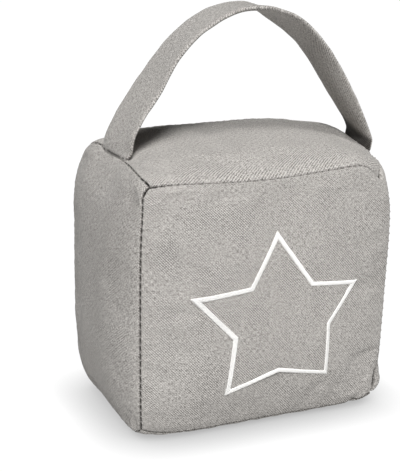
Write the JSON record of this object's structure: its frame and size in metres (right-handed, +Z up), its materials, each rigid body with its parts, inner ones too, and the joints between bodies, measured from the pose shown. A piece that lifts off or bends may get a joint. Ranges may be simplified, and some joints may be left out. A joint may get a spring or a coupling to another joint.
{
  "type": "weighted fabric door stop",
  "caption": "Weighted fabric door stop: a stuffed, sewn block of grey twill with a carrying strap and an embroidered star outline, set on the floor to hold a door.",
  "frame": {"origin": "on the floor under the middle of the whole door stop", "axes": "+Z up through the strap, -Y out of the panel with the star, +X to the right as seen from the front"},
  "size_m": [0.1704, 0.1162, 0.2337],
  "materials": {
    "grey_twill": "matt grey twill",
    "strap_twill": "matt grey twill",
    "white_thread": "satin-stitched white thread"
  },
  "bodies": {
    "root": {"bag_body": "grey_twill", "handle_strap": "strap_twill", "star_embroidery": "white_thread"}
  },
  "joints": []
}
